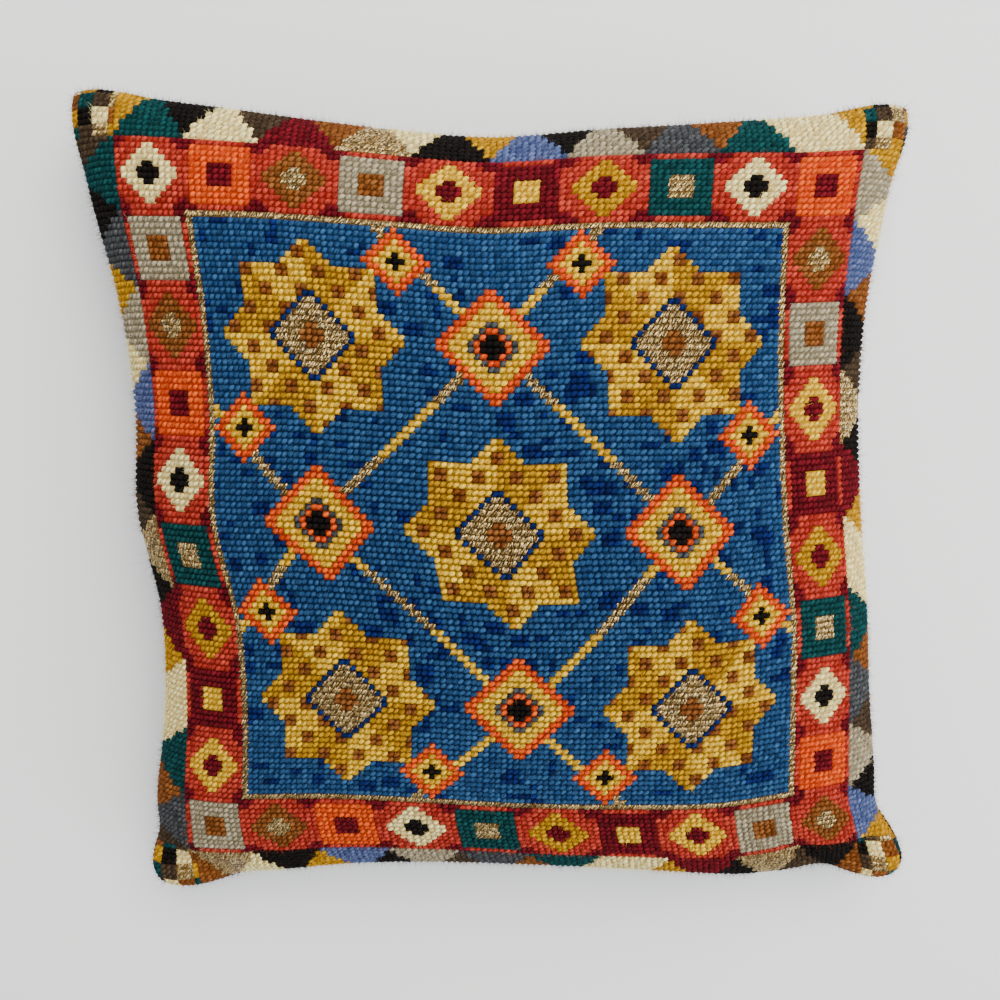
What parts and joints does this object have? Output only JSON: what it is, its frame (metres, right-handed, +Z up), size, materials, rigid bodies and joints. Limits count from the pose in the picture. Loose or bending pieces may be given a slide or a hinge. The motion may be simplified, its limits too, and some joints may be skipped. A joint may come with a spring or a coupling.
{
  "type": "needlepoint cushion",
  "caption": "Square knife-edge cushion with a tent-stitched wool front and a plain cloth back, filled to a soft crown with drawn-in sides and pointed corners, lying on its back.",
  "frame": {"origin": "on the flat patch of the underside that the cushion rests on, below the middle of its four corners", "axes": "+Z up out of the stitched face, +X along the far and near sides towards the right one, +Y from the near side to the far side, which is the top of the design"},
  "size_m": [0.3671, 0.3566, 0.1067],
  "materials": {
    "wool_canvas": "tent-stitched wool on canvas, matt"
  },
  "bodies": {
    "root": {"needlepoint_cushion": "wool_canvas"}
  },
  "joints": []
}
